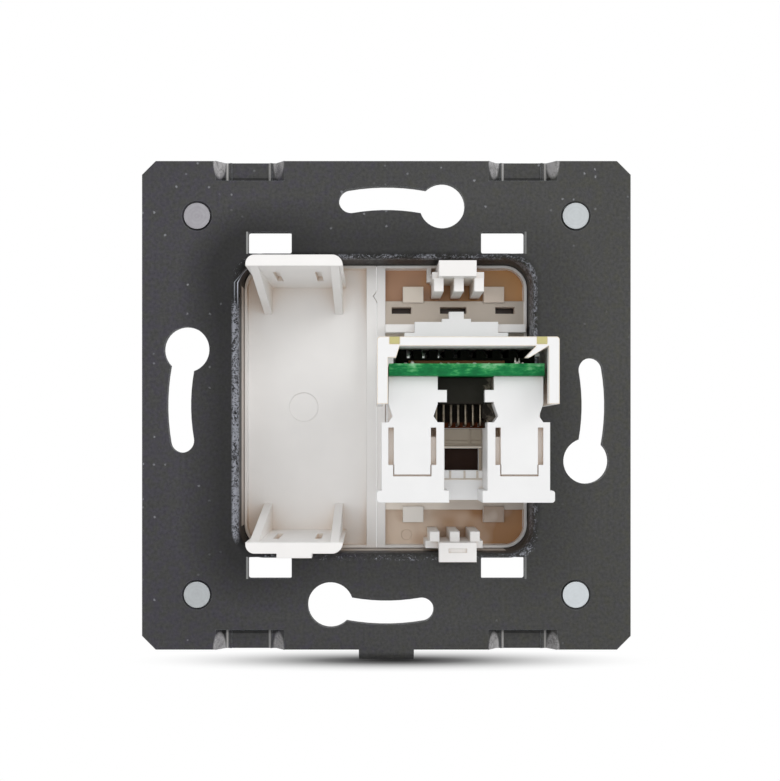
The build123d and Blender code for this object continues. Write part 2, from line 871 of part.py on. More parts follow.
# Contact carrier: a block between the towers, and a plate that closes the rear of the cavity
with BuildPart() as contact_carrier:
    carrier_top = housing_top - carrier_gap
    carrier_z = (carrier_block_bottom, carrier_top)
    shoulder_y = tower_rear + tower_skin + carrier_gap
    block(about(port_x, tower_gap - 2 * carrier_gap), (carrier_rear, plug_end), carrier_z)
    block(about(port_x, carrier_shoulder_width), (shoulder_y, plug_end), carrier_z)
    with BuildSketch(depth(plug_end)):
        plug_profile(carrier_gap)
    extrude(amount=carrier_plate_thickness - carrier_gap)

    # The ear beside the last wire
    ear_right = port_x + carrier_shoulder_width / 2
    with BuildSketch(depth(shoulder_y + carrier_ear_thickness)):
        Polygon(
            (port_x + carrier_ear_start, carrier_block_bottom),
            (port_x + carrier_ear_start, carrier_ear_bottom + carrier_ear_rise),
            (port_x + tower_gap / 2, carrier_ear_bottom),
            (ear_right, carrier_ear_bottom + carrier_ear_side_rise),
            (ear_right, carrier_block_bottom),
            align=None,
        )
    extrude(amount=carrier_ear_thickness)

    # Each wire drops through the block and passes forward through the plate
    for number in range(wire_count):
        middle = wire_x(number)
        block(
            about(middle, wire_slot),
            about(wire_drop_y, wire_slot),
            (carrier_block_bottom, carrier_top),
            Mode.SUBTRACT,
        )
        block(
            about(middle, wire_slot),
            (cavity_rear, plug_end),
            about(wire_turn_z, wire_slot),
            Mode.SUBTRACT,
        )

contact_carrier.part.label = "contact_carrier"
export_step(contact_carrier.part, "parts/contact_carrier.step")


# Contact wires: down from the board, forward over the back wall, then rising into the cavity
for number in range(wire_count):
    with BuildPart() as contact_wire:
        with BuildLine(side(wire_x(number))) as wire_path:
            FilletPolyline(
                (wire_drop_y, housing_top),
                (wire_drop_y, wire_turn_z),
                (wire_rise_y, wire_turn_z),
                (wire_tip_y, wire_tip_z),
                radius=wire_bend,
            )
        with BuildSketch(Plane.XY.offset(housing_top)):
            with Locations((wire_x(number), wire_drop_y)):
                RegularPolygon(wire_width / 2, wire_sides, major_radius=False)
        sweep(path=wire_path.line)
    name = f"contact_wire_{number + 1}"
    contact_wire.part.label = name
    export_step(contact_wire.part, f"parts/{name}.step")
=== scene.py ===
import json
import math

import bmesh
import bpy
from mathutils import Matrix, Vector


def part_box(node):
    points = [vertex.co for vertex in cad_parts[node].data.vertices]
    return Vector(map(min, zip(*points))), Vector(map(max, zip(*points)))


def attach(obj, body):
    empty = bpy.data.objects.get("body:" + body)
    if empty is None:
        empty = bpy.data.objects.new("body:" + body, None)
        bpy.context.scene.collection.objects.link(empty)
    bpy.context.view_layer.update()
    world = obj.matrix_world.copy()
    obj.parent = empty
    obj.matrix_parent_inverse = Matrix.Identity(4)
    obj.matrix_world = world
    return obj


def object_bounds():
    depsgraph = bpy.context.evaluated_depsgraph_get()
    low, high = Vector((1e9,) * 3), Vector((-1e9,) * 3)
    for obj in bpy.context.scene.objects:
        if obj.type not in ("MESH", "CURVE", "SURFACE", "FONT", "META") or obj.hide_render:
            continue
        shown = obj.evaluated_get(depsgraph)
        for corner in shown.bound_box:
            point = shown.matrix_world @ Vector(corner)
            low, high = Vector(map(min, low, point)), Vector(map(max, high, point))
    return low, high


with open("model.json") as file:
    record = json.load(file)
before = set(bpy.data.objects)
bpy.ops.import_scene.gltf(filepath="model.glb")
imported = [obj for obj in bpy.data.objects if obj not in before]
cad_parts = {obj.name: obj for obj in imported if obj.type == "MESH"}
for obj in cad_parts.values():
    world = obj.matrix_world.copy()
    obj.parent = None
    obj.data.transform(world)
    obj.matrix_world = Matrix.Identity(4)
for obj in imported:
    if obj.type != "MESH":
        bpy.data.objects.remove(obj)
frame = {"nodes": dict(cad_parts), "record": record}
cad_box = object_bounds()

# Lengths are in metres. +X runs across, +Z up, and the wall side that the camera sees is at -Y.
MM = 0.001

# Places on the plate and the modules, in millimetres: the middles of the opening's corners and of
# the rivets, and half the space inside the walls of the modules
corner_middle = 17.85
rivet_middle = 27.5
half_inside = 20.9


def srgb(code):
    """Linear colour of an sRGB hex code."""
    channels = []
    for start in (0, 2, 4):
        value = int(code[start:start + 2], 16) / 255
        if value <= 0.04045:
            channels.append(value / 12.92)
        else:
            channels.append(((value + 0.055) / 1.055) ** 2.4)
    return (*channels, 1.0)


def add_node(tree, kind, inputs=None, stops=None, **settings):
    """Adds a node. inputs maps a socket to a value or to a socket that feeds it."""
    made = tree.nodes.new(kind)
    for name, setting in settings.items():
        setattr(made, name, setting)
    for name, value in (inputs or {}).items():
        if isinstance(value, bpy.types.NodeSocket):
            tree.links.new(value, made.inputs[name])
        else:
            made.inputs[name].default_value = value
    if stops:
        ramp = made.color_ramp
        while len(ramp.elements) < len(stops):
            ramp.elements.new(0.5)
        for element, (place, colour) in zip(ramp.elements, stops):
            element.position = place
            element.color = colour if isinstance(colour, tuple) else srgb(colour)
    return made


def grain(size):
    """Scale of a noise or cell pattern whose features are this many millimetres across."""
    return 1 / (size * MM)


def new_material(name):
    """An empty material: its node tree, its Object coordinates and its shader."""
    material = bpy.data.materials.new(name)
    material.use_nodes = True
    tree = material.node_tree
    tree.nodes.clear()
    output = add_node(tree, "ShaderNodeOutputMaterial")
    shader = add_node(tree, "ShaderNodeBsdfPrincipled")
    tree.links.new(shader.outputs["BSDF"], output.inputs["Surface"])
    place = add_node(tree, "ShaderNodeTexCoord").outputs["Object"]
    return material, tree, place, shader


def finish_surface(tree, shader, height, strength, distance, edge):
    """Bump from a height, over edges that are rounded by this many millimetres."""
    rounded = add_node(tree, "ShaderNodeBevel", {"Radius": edge * MM}, samples=6)
    bump = add_node(
        tree,
        "ShaderNodeBump",
        {
            "Strength": strength,
            "Distance": distance * MM,
            "Height": height,
            "Normal": rounded.outputs["Normal"],
        },
    )
    tree.links.new(bump.outputs["Normal"], shader.inputs["Normal"])


def edge_share(tree, radius, least):
    """0 on a flat face, rising to 1 on an edge, from how far the rounded normal turns away."""
    rounded = add_node(tree, "ShaderNodeBevel", {"Radius": radius * MM}, samples=6)
    plain_normal = add_node(tree, "ShaderNodeNewGeometry").outputs["Normal"]
    alike = add_node(
        tree,
        "ShaderNodeVectorMath",
        {0: rounded.outputs["Normal"], 1: plain_normal},
        operation="DOT_PRODUCT",
    )
    return add_node(
        tree,
        "ShaderNodeMapRange",
        {"Value": alike.outputs["Value"], "From Min": 0.995, "From Max": 1 - least},
    ).outputs["Result"]


def powder_coated_steel():
    """Textured polyester powder coat on sheet steel: a fine dark orange peel, rubbed pale on
    the bend of the opening and chipped on the edge steps, with stray flecks near a corner.
    Painted shade darkens it beside the opening, towards the left, down the bent tab and along
    the sheared side of each edge step. Painted highlights lie on the bend of the opening and round
    its top left corner, on the step slopes and creases and on the cut edges. The wall of the
    opening carries a painted reflection of the white modules."""
    material, tree, place, shader = new_material("powder_coated_steel")
    in_mm = add_node(
        tree,
        "ShaderNodeVectorMath",
        {0: place, "Scale": 1 / MM},
        operation="SCALE",
    ).outputs["Vector"]
    folded = add_node(
        tree,
        "ShaderNodeVectorMath",
        {0: in_mm},
        operation="ABSOLUTE",
    ).outputs["Vector"]
    value = {}
    for prefix, vector in (("", in_mm), ("folded_", folded)):
        split = add_node(tree, "ShaderNodeSeparateXYZ", {"Vector": vector})
        for axis in "XYZ":
            value[prefix + axis] = split.outputs[axis]

    # Size in millimetres, detail, roughness and distortion of each noise
    for name, size, detail, roughness, distortion in (
        ("speck", 0.45, 3.0, 0.6, 0.0),
        ("nicks", 0.4, 4.0, 0.75, 0.8),
        ("mottle", 1.5, 3.0, 0.6, 0.0),
        ("patches", 5.0, 2.0, 0.5, 0.0),
        ("drift", 22.0, 2.0, 0.5, 0.0),
    ):
        value[name] = add_node(
            tree,
            "ShaderNodeTexNoise",
            {
                "Vector": place,
                "Scale": grain(size),
                "Detail": detail,
                "Roughness": roughness,
                "Distortion": distortion,
            },
        ).outputs["Fac"]

    # Reach outwards from the middles of the opening's corners, a rounded square
    past = add_node(
        tree,
        "ShaderNodeVectorMath",
        {0: folded, 1: (corner_middle, 1000.0, corner_middle)},
        operation="SUBTRACT",
    )
    outside = add_node(
        tree,
        "ShaderNodeVectorMath",
        {0: past.outputs["Vector"], 1: (0.0, 0.0, 0.0)},
        operation="MAXIMUM",
    )
    value["reach"] = add_node(
        tree,
        "ShaderNodeVectorMath",
        {0: outside.outputs["Vector"]},
        operation="LENGTH",
    ).outputs["Value"]

    # Positive where a face looks away from the middle of the plate or into the room
    value["outward"] = add_node(
        tree,
        "ShaderNodeVectorMath",
        {0: add_node(tree, "ShaderNodeTexCoord").outputs["Normal"], 1: in_mm},
        operation="DOT_PRODUCT",
    ).outputs["Value"]

    # Cells on the face of the plate, for the flecks
    flat = add_node(tree, "ShaderNodeCombineXYZ", {"X": value["X"], "Y": value["Z"]})
    cells = add_node(
        tree,
        "ShaderNodeTexVoronoi",
        {"Vector": flat.outputs["Vector"], "Scale": 1 / 1.6},
        voronoi_dimensions="2D",
    )
    value["spot"] = cells.outputs["Distance"]
    value["chosen"] = add_node(tree, "ShaderNodeSeparateXYZ", {"Vector": cells.outputs["Color"]}).outputs["X"]
    value["edge"] = edge_share(tree, 0.16, 0.3)

    # Each row makes one value, in millimetres where it is a length. SPAN maps a range of a
    # value to another range and holds its ends; the other steps are sums.
    for name, step, first, *rest in (
        # Broad tone with painted shade: darker beside the opening, most on the left, darker towards
        # the left across the plate and darker down the bent tab. The drift and the grain are the coat's own.
        ("by_opening", "SPAN", "reach", 12.5, 6.0, 0.0, 1.0),
        ("left_side", "SPAN", "X", -8.0, -21.0, 0.2, 0.75),
        ("right_side", "SPAN", "X", 14.0, 21.0, 0.0, 0.13),
        ("top_side", "SPAN", "Z", 10.0, 21.0, 0.0, 0.36),
        ("top_fade", "SPAN", "X", 19.0, 5.0, 0.0, 1.0),
        ("top_side", "MULTIPLY", "top_side", "top_fade"),
        ("sides", "ADD", "left_side", "right_side"),
        ("sides", "ADD", "sides", "top_side"),
        ("zone", "MULTIPLY", "by_opening", "sides"),
        ("tone", "SPAN", "zone", 0.0, 0.8, 1.0, 0.2),
        ("drift", "SPAN", "drift", 0.3, 0.7, 0.93, 1.07),
        ("tone", "MULTIPLY", "tone", "drift"),
        # Painted shade: the plate darker towards the left, away from the light at the right
        ("to_right", "SPAN", "X", -34.0, 10.0, 0.9, 1.0),
        ("tone", "MULTIPLY", "tone", "to_right"),
        # Painted shade: darker down the bent tab
        ("tab", "SPAN", "Z", -35.9, -36.9, 1.0, 0.4),
        ("tone", "MULTIPLY", "tone", "tab"),
        ("grain", "SPAN", "speck", 0.3, 0.7, 0.8, 1.22),
        ("tone", "MULTIPLY", "tone", "grain"),
        # Painted shadow along the sheared inner side of each edge step
        ("shear_shadow", "COMPARE", "folded_Z", 33.0, 0.33),
        ("on_step", "COMPARE", "folded_X", 19.9, 4.1),
        ("shear_shadow", "MULTIPLY", "shear_shadow", "on_step"),
        ("pushed", "GREATER_THAN", "Y", 0.5),
        ("shear_shadow", "MULTIPLY", "shear_shadow", "pushed"),
        ("shear_shadow", "SPAN", "shear_shadow", 0.0, 1.0, 1.0, 0.25),
        ("tone", "MULTIPLY", "tone", "shear_shadow"),
        # Hue, from violet at the top left to olive at the right
        ("hue", "SPAN", "X", -34.0, 30.0, -0.12, 0.08),
        ("hue", "ADD", "hue", "mottle"),
        # Pale band on the bend of the opening, partly rubbed paint and partly a painted highlight
        # along the bend. It spreads out on the plate at the left and below, and goes down the wall at the
        # right.
        ("at_left", "SPAN", "X", -18.0, -21.0, 0.0, 1.0),
        ("at_right", "SPAN", "X", 18.0, 21.0, 0.0, 1.0),
        ("at_bottom", "SPAN", "Z", -18.0, -21.0, 0.0, 1.0),
        ("outmost", "MULTIPLY", "at_left", 0.5),
        ("outmost_low", "MULTIPLY", "at_bottom", 0.6),
        ("outmost", "MAXIMUM", "outmost", "outmost_low"),
        ("outmost", "SUBTRACT", "outmost", "reach"),
        ("bend", "SPAN", "outmost", -4.2, -3.9, 0.0, 1.0),
        ("deepest", "MULTIPLY", "at_right", 2.5),
        ("deepest_left", "MULTIPLY", "at_left", -1.2),
        ("deepest", "ADD", "deepest", "deepest_left"),
        ("deepest_low", "MULTIPLY", "at_bottom", -1.8),
        ("deepest", "ADD", "deepest", "deepest_low"),
        ("deepest", "SUBTRACT", "deepest", "Y"),
        ("shallow", "SPAN", "deepest", -2.6, -1.9, 0.0, 1.0),
        ("band", "MULTIPLY", "bend", "shallow"),
        ("rub_and_sheen", "SPAN", "X", -17.0, -22.0, 0.0, 0.12),
        ("rub_and_sheen", "ADD", "rub_and_sheen", "nicks"),
        ("rub_right", "SPAN", "X", 17.0, 21.0, 0.0, 0.04),
        ("rub_and_sheen", "ADD", "rub_and_sheen", "rub_right"),
        ("rub_top", "SPAN", "Z", 17.0, 21.0, 0.0, 0.035),
        ("rub_and_sheen", "ADD", "rub_and_sheen", "rub_top"),
        ("rub_bottom", "SPAN", "Z", -17.0, -21.0, 0.0, -0.03),
        ("rub_and_sheen", "ADD", "rub_and_sheen", "rub_bottom"),
        ("rub_patch", "SPAN", "patches", 0.3, 0.7, -0.05, 0.05),
        ("rub_and_sheen", "ADD", "rub_and_sheen", "rub_patch"),
        ("corner", "SPAN", "X", -19.0, -20.5, 0.0, 1.0),
        ("corner_z", "SPAN", "Z", 14.0, 17.0, 0.0, 1.0),
        ("corner", "MULTIPLY", "corner", "corner_z"),
        ("rub_corner", "MULTIPLY", "corner", -0.2),
        ("rub_and_sheen", "ADD", "rub_and_sheen", "rub_corner"),
        ("rub_and_sheen", "SPAN", "rub_and_sheen", 0.53, 0.64, 0.0, 0.85),
        ("rub_and_sheen", "MULTIPLY", "rub_and_sheen", "band"),
        # Two painted highlight lines round the top left corner, running down from the wall onto the bend
        ("along", "SUBTRACT", "Y", "reach"),
        ("slant", "SPAN", "Z", 17.9, 20.5, 3.25, 0.2),
        ("along", "ADD", "along", "slant"),
        ("line", "COMPARE", "along", 0.0, 0.17),
        ("faint_line", "COMPARE", "along", -0.8, 0.12),
        ("faint_line", "MULTIPLY", "faint_line", 0.4),
        ("line", "MAXIMUM", "line", "faint_line"),
        ("line", "MULTIPLY", "line", "corner"),
        ("wall_side", "LESS_THAN", "outward", 0.6),
        ("line", "MULTIPLY", "line", "wall_side"),
        ("line", "MULTIPLY", "line", 0.85),
        # Wall of the opening at the left and below, painted pale as a reflection of the white modules close
        # beside it
        ("on_wall", "COMPARE", "reach", 3.65, 0.05),
        ("module_reflection_left", "SPAN", "X", -19.0, -20.5, 0.0, 0.9),
        ("module_reflection_low", "SPAN", "Z", -19.0, -20.5, 0.0, 0.9),
        ("module_reflection", "MAXIMUM", "module_reflection_left", "module_reflection_low"),
        ("deep", "SPAN", "Y", 3.4, 4.2, 0.0, 1.0),
        ("module_reflection", "MULTIPLY", "module_reflection", "deep"),
        ("module_reflection", "MULTIPLY", "module_reflection", "on_wall"),
        # Edge steps: chipped paint on each slope and a painted highlight along the creases, both
        # strongest on the left slope of each step, which is painted as lit from the right
        ("inward", "SUBTRACT", "folded_X", 20.0),
        ("side", "SIGN", "X"),
        ("lit_slope", "MULTIPLY", "inward", "side"),
        # Painted light: the left slope of each step faces the light at the right and gets the most
        ("lit_slope", "SPAN", "lit_slope", -1.0, 1.0, 0.85, 0.62),
        ("chip_x", "ABSOLUTE", "inward"),
        ("chip_x", "SUBTRACT", "chip_x", 4.3),
        ("chip_x", "DIVIDE", "chip_x", 0.92),
        ("chip_x", "MULTIPLY", "chip_x", "chip_x"),
        ("chip_z", "SUBTRACT", "folded_Z", 35.5),
        ("chip_z", "DIVIDE", "chip_z", 2.6),
        ("chip_z", "MULTIPLY", "chip_z", "chip_z"),
        ("chip", "ADD", "chip_x", "chip_z"),
        ("chip", "SPAN", "chip", 1.0, 0.6, 0.0, 1.0),
        ("flake", "ADD", "nicks", "patches"),
        ("flake", "SPAN", "flake", 0.82, 1.08, 0.25, 0.85),
        ("chip", "MULTIPLY", "chip", "flake"),
        ("chip", "MULTIPLY", "chip", "lit_slope"),
        ("crease_highlight", "SUBTRACT", "folded_X", 20.15),
        ("crease_highlight", "ABSOLUTE", "crease_highlight"),
        ("crease_highlight", "SUBTRACT", "crease_highlight", 3.1),
        ("crease_highlight", "ABSOLUTE", "crease_highlight"),
        ("crease_highlight", "SPAN", "crease_highlight", 0.21, 0.08, 0.0, 0.75),
        ("at_edge", "COMPARE", "folded_Z", 34.3, 1.4),
        ("crease_highlight", "MULTIPLY", "crease_highlight", "at_edge"),
        ("crease_highlight", "MULTIPLY", "crease_highlight", "lit_slope"),
        # Pale outer edge of each window
        ("window", "COMPARE", "folded_X", 20.2, 0.14),
        ("window_z", "COMPARE", "folded_Z", 23.6, 1.6),
        ("window", "MULTIPLY", "window", "window_z"),
        ("window_side", "SPAN", "X", -1.0, 1.0, 0.7, 0.35),
        ("window", "MULTIPLY", "window", "window_side"),
        # Stray flecks, thickest towards the top left corner
        ("crowd_x", "SPAN", "X", -34.0, -22.0, 0.12, 0.0),
        ("crowd_z", "SPAN", "Z", 34.0, 22.0, 0.12, 0.0),
        ("crowd", "ADD", "crowd_x", "crowd_z"),
        ("crowd", "ADD", "crowd", "chosen"),
        ("crowd", "SPAN", "crowd", 0.97, 1.07, 0.0, 0.5),
        ("ragged", "SPAN", "nicks", 0.3, 0.7, -0.07, 0.07),
        ("spot", "ADD", "spot", "ragged"),
        ("fleck", "SPAN", "spot", 0.13, 0.05, 0.0, 1.0),
        ("fleck", "MULTIPLY", "fleck", "crowd"),
        # Cut edges, paler where the coat is thin, with a painted highlight where the rounded edge catches the
        # light
        ("bare", "SPAN", "nicks", 0.35, 0.65, 0.2, 0.75),
        ("edge", "MULTIPLY", "edge", "bare"),
        ("rough", "SPAN", "speck", 0.3, 0.7, 0.62, 0.46),
    ):
        if step == "SPAN":
            low, high, least, most = rest
            made = add_node(
                tree,
                "ShaderNodeMapRange",
                {"Value": value[first], "From Min": low, "From Max": high, "To Min": least, "To Max": most},
            )
            value[name] = made.outputs["Result"]
        else:
            inputs = {0: value[first]}
            for socket, other in enumerate(rest, start=1):
                inputs[socket] = value.get(other, other)
            value[name] = add_node(tree, "ShaderNodeMath", inputs, operation=step).outputs["Value"]

    paint = add_node(
        tree,
        "ShaderNodeValToRGB",
        {"Fac": value["hue"]},
        stops=[(0.3, "3d3b43"), (0.46, "3d3d3d"), (0.56, "3d3d3c"), (0.72, "3f3f39")],
    )
    colour = add_node(
        tree,
        "ShaderNodeVectorMath",
        {0: paint.outputs["Color"], "Scale": value["tone"]},
        operation="SCALE",
    ).outputs["Vector"]
    for share, code in (
        ("rub_and_sheen", "a3a6b0"),
        ("module_reflection", "d4cbc3"),
        ("line", "dfe5f2"),
        ("chip", "c9c7c8"),
        ("crease_highlight", "cfcdcb"),
        ("window", "a5a6a5"),
        ("fleck", "a6a8ae"),
        ("edge", "9a9fa5"),
    ):
        colour = add_node(
            tree,
            "ShaderNodeMix",
            {"Factor": value[share], "A": colour, "B": srgb(code)},
            data_type="RGBA",
        ).outputs["Result"]
    tree.links.new(colour, shader.inputs["Base Color"])
    tree.links.new(value["rough"], shader.inputs["Roughness"])
    shader.inputs["Specular IOR Level"].default_value = 0.35
    finish_surface(tree, shader, value["speck"], 0.32, 0.1, 0.16)
    return material


def turned_steel():
    """Bare steel rivet, faced on a lathe: faint rings round each of the four centres, with a faint
    random stain and painted light that makes it lighter to the right and towards the bottom, darker at the
    top left."""
    material, tree, place, shader = new_material("turned_bare_steel")
    folded = add_node(tree, "ShaderNodeVectorMath", {0: place}, operation="ABSOLUTE")
    centred = add_node(
        tree,
        "ShaderNodeVectorMath",
        {0: folded.outputs["Vector"], 1: (rivet_middle * MM, 0.0, rivet_middle * MM)},
        operation="SUBTRACT",
    )
    flat = add_node(
        tree,
        "ShaderNodeVectorMath",
        {0: centred.outputs["Vector"], 1: (1.0, 0.0, 1.0)},
        operation="MULTIPLY",
    )
    rings = add_node(
        tree,
        "ShaderNodeTexWave",
        {"Vector": flat.outputs["Vector"], "Scale": grain(1.6), "Distortion": 0.4, "Detail": 1.0},
        wave_type="RINGS",
        rings_direction="SPHERICAL",
    )
    stain = add_node(
        tree,
        "ShaderNodeTexNoise",
        {"Vector": place, "Scale": grain(0.9), "Detail": 3.0},
    )
    axes = add_node(tree, "ShaderNodeSeparateXYZ", {"Vector": place})
    level = add_node(
        tree,
        "ShaderNodeMapRange",
        {"Value": stain.outputs["Fac"], "From Min": 0.3, "From Max": 0.7, "To Min": 0.44, "To Max": 0.56},
    ).outputs["Result"]
    # Painted light: lighter to the right and towards the bottom, darker at the top left
    for axis, least, most in (("X", -0.23, 0.23), ("Z", 0.2, -0.2)):
        slope = add_node(
            tree,
            "ShaderNodeMapRange",
            {
                "Value": axes.outputs[axis],
                "From Min": -rivet_middle * MM,
                "From Max": rivet_middle * MM,
                "To Min": least,
                "To Max": most,
            },
        )
        level = add_node(
            tree,
            "ShaderNodeMath",
            {0: level, 1: slope.outputs["Result"]},
            operation="ADD",
        ).outputs["Value"]
    colour = add_node(
        tree,
        "ShaderNodeValToRGB",
        {"Fac": level},
        stops=[(0.0, "98959a"), (0.5, "b3b7b9"), (1.0, "c9ced1")],
    )
    tree.links.new(colour.outputs["Color"], shader.inputs["Base Color"])
    rough = add_node(
        tree,
        "ShaderNodeMapRange",
        {"Value": rings.outputs["Fac"], "To Min": 0.5, "To Max": 0.56},
    )
    tree.links.new(rough.outputs["Result"], shader.inputs["Roughness"])
    shader.inputs["Metallic"].default_value = 1.0
    finish_surface(tree, shader, rings.outputs["Fac"], 0.08, 0.02, 0.14)
    return material


def with_painted_shade(tree, place, base, shaded_spans):
    """A base colour with painted shade laid over spans of depth and height in millimetres, each
    with its shaded colours at the left and the right, blended across by X and a faint cloud."""
    axes = add_node(tree, "ShaderNodeSeparateXYZ", {"Vector": place})
    across = add_node(
        tree,
        "ShaderNodeMapRange",
        {
            "Value": axes.outputs["X"],
            "From Min": 0.0,
            "From Max": 20 * MM,
            "To Min": -0.1,
            "To Max": 0.8,
        },
    )
    cloud = add_node(
        tree,
        "ShaderNodeTexNoise",
        {"Vector": place, "Scale": grain(4), "Detail": 1.0},
    )
    shade_across = add_node(
        tree,
        "ShaderNodeMath",
        {0: across.outputs["Result"], 1: cloud.outputs["Fac"]},
        operation="ADD",
    )
    right_share = add_node(
        tree,
        "ShaderNodeMapRange",
        {"Value": shade_across.outputs["Value"], "From Min": 0.6, "From Max": 1.15},
    )
    in_opening = add_node(
        tree,
        "ShaderNodeMath",
        {0: axes.outputs["X"], 1: 0.0, 2: half_inside * MM},
        operation="COMPARE",
    )
    # Painted shade: each span takes its shaded colour, from the left one to the right one
    for deep, high, left_colour, right_colour in shaded_spans:
        within = in_opening.outputs["Value"]
        for axis, (start, end) in (("Y", deep), ("Z", high)):
            between = add_node(
                tree,
                "ShaderNodeMath",
                {0: axes.outputs[axis], 1: (start + end) / 2 * MM, 2: (end - start) / 2 * MM},
                operation="COMPARE",
            )
            within = add_node(
                tree,
                "ShaderNodeMath",
                {0: within, 1: between.outputs["Value"]},
                operation="MULTIPLY",
            ).outputs["Value"]
        span_shade = add_node(
            tree,
            "ShaderNodeMix",
            {"Factor": right_share.outputs["Result"], "A": srgb(left_colour), "B": srgb(right_colour)},
            data_type="RGBA",
        )
        base = add_node(
            tree,
            "ShaderNodeMix",
            {"Factor": within, "A": base, "B": span_shade.outputs["Result"]},
            data_type="RGBA",
        ).outputs["Result"]
    return base


def moulded_plastic(name, face, corner, rough, mottle, reach, shine=0.5, shaded_spans=None, edge_tint=None):
    """Injection moulded resin: an even satin skin with faint flow mottling, and painted shade
    that turns deep corners and recesses warmer and darker, from an ambient occlusion mask.
    reach is how far, in millimetres, such a corner is felt. The edge tint, when given, is laid along the
    edges."""
    material, tree, place, shader = new_material(name)
    flow = add_node(
        tree,
        "ShaderNodeTexNoise",
        {"Vector": place, "Scale": grain(mottle), "Detail": 2.0, "Roughness": 0.5},
    )
    skin = add_node(
        tree,
        "ShaderNodeTexNoise",
        {"Vector": place, "Scale": grain(0.3), "Detail": 2.0},
    )
    # Painted shade: deep corners and recesses turn to the corner colour, from an ambient occlusion mask
    hidden = add_node(
        tree,
        "ShaderNodeAmbientOcclusion",
        {"Distance": reach * MM},
        samples=8,
    )
    tint = add_node(
        tree,
        "ShaderNodeMapRange",
        {"Value": hidden.outputs["AO"], "From Min": 0.05, "From Max": 0.42},
    )
    colour = add_node(
        tree,
        "ShaderNodeMix",
        {"Factor": tint.outputs["Result"], "A": srgb(corner), "B": srgb(face)},
        data_type="RGBA",
    )
    base = colour.outputs["Result"]
    if shaded_spans:
        base = with_painted_shade(tree, place, base, shaded_spans)
    if edge_tint:
        base = add_node(
            tree,
            "ShaderNodeMix",
            {"Factor": edge_share(tree, 0.3, 0.25), "A": base, "B": srgb(edge_tint)},
            data_type="RGBA",
        ).outputs["Result"]
    shade = add_node(
        tree,
        "ShaderNodeMapRange",
        {"Value": flow.outputs["Fac"], "From Min": 0.3, "From Max": 0.7, "To Min": 0.965, "To Max": 1.0},
    )
    shaded = add_node(
        tree,
        "ShaderNodeVectorMath",
        {0: base, "Scale": shade.outputs["Result"]},
        operation="SCALE",
    )
    tree.links.new(shaded.outputs["Vector"], shader.inputs["Base Color"])
    dullness = add_node(
        tree,
        "ShaderNodeMapRange",
        {
            "Value": flow.outputs["Fac"],
            "From Min": 0.3,
            "From Max": 0.7,
            "To Min": rough - 0.05,
            "To Max": rough + 0.05,
        },
    )
    tree.links.new(dullness.outputs["Result"], shader.inputs["Roughness"])
    shader.inputs["Specular IOR Level"].default_value = shine
    finish_surface(tree, shader, skin.outputs["Fac"], 0.12, 0.03, 0.16)
    return material


def glass_fibre_board():
    """FR4 board under green solder mask: its cut edge is mottled by the fibres, paler towards
    the top and a smooth deep green towards the bottom."""
    material, tree, place, shader = new_material("solder_masked_laminate")
    along = add_node(tree, "ShaderNodeMapping", {"Vector": place, "Scale": (0.3, 1.0, 1.0)})
    fibre = add_node(
        tree,
        "ShaderNodeTexNoise",
        {"Vector": along.outputs["Vector"], "Scale": grain(0.36), "Detail": 5.0, "Roughness": 0.7},
    )
    layers = add_node(
        tree,
        "ShaderNodeTexNoise",
        {"Vector": place, "Scale": grain(2.0), "Detail": 2.0},
    )
    blend = add_node(
        tree,
        "ShaderNodeMath",
        {0: fibre.outputs["Fac"], 1: layers.outputs["Fac"]},
        operation="ADD",
    )
    axes = add_node(tree, "ShaderNodeSeparateXYZ", {"Vector": place})
    low_edge, high_edge = (corner.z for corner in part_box("circuit_board"))
    height = add_node(
        tree,
        "ShaderNodeMapRange",
        {
            "Value": axes.outputs["Z"],
            "From Min": low_edge,
            "From Max": high_edge,
            "To Min": -0.14,
            "To Max": 0.1,
        },
    )
    lifted = add_node(
        tree,
        "ShaderNodeMath",
        {0: blend.outputs["Value"], 1: height.outputs["Result"]},
        operation="ADD",
    )
    level = add_node(
        tree,
        "ShaderNodeMapRange",
        {"Value": lifted.outputs["Value"], "From Min": 0.7, "From Max": 1.35},
    )
    colour = add_node(
        tree,
        "ShaderNodeValToRGB",
        {"Fac": level.outputs["Result"]},
        stops=[(0.1, "086838"), (0.42, "117a41"), (0.62, "3c9a58"), (0.95, "86c294")],
    )
    tree.links.new(colour.outputs["Color"], shader.inputs["Base Color"])
    shader.inputs["Roughness"].default_value = 0.5
    shader.inputs["Specular IOR Level"].default_value = 0.15
    finish_surface(tree, shader, fibre.outputs["Fac"], 0.4, 0.08, 0.06)
    return material


def plated_metal(name, low, high, rough_low, rough_high):
    """Thin electroplate on a stamped or drawn spring: soft streaks and a dull shine."""
    material, tree, place, shader = new_material(name)
    streak = add_node(
        tree,
        "ShaderNodeTexNoise",
        {"Vector": place, "Scale": grain(0.6), "Detail": 4.0, "Roughness": 0.65},
    )
    colour = add_node(
        tree,
        "ShaderNodeValToRGB",
        {"Fac": streak.outputs["Fac"]},
        stops=[(0.35, low), (0.65, high)],
    )
    tree.links.new(colour.outputs["Color"], shader.inputs["Base Color"])
    rough = add_node(
        tree,
        "ShaderNodeMapRange",
        {
            "Value": streak.outputs["Fac"],
            "From Min": 0.3,
            "From Max": 0.7,
            "To Min": rough_low,
            "To Max": rough_high,
        },
    )
    tree.links.new(rough.outputs["Result"], shader.inputs["Roughness"])
    shader.inputs["Metallic"].default_value = 1.0
    finish_surface(tree, shader, streak.outputs["Fac"], 0.15, 0.02, 0.05)
    return material


